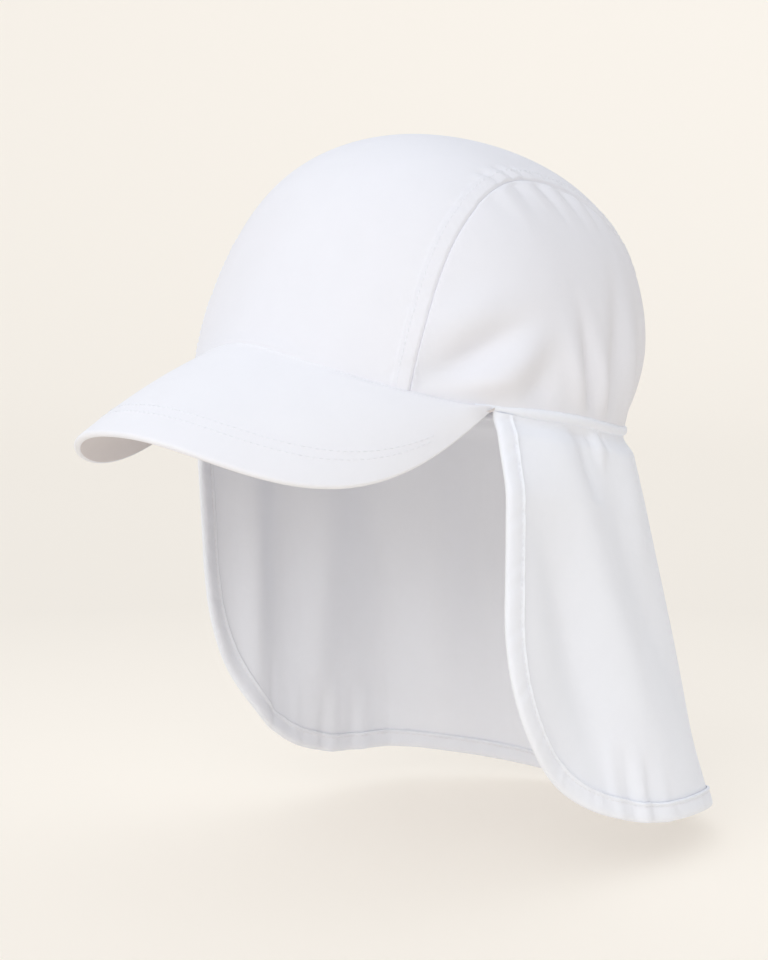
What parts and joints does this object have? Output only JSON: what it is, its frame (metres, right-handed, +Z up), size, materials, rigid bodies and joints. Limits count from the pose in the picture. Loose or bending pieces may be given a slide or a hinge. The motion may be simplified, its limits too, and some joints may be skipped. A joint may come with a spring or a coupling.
{
  "type": "legionnaire cap",
  "caption": "White cloth cap with a rounded crown, a stiff curved peak and a long flared neck flap with a bound edge that shades the ears and neck.",
  "frame": {"origin": "middle of the head opening, where a head carries the cap", "axes": "+Z up out of the crown, -Y forward along the peak, +X to the wearer's left"},
  "size_m": [0.1983, 0.3115, 0.3074],
  "materials": {
    "crown_cloth": "smooth thin woven cloth, matt white",
    "peak_cloth": "smooth woven cloth over a stiff leaf, matt white",
    "flap_cloth": "thin soft woven cloth, matt white",
    "trim_cloth": "folded woven strip, matt white"
  },
  "bodies": {
    "root": {"crown_centre_panel": "crown_cloth", "crown_side_panel_left": "crown_cloth", "crown_side_panel_right": "crown_cloth", "peak": "peak_cloth", "rim_piping": "trim_cloth", "neck_flap": "flap_cloth", "flap_binding": "trim_cloth"}
  },
  "joints": []
}
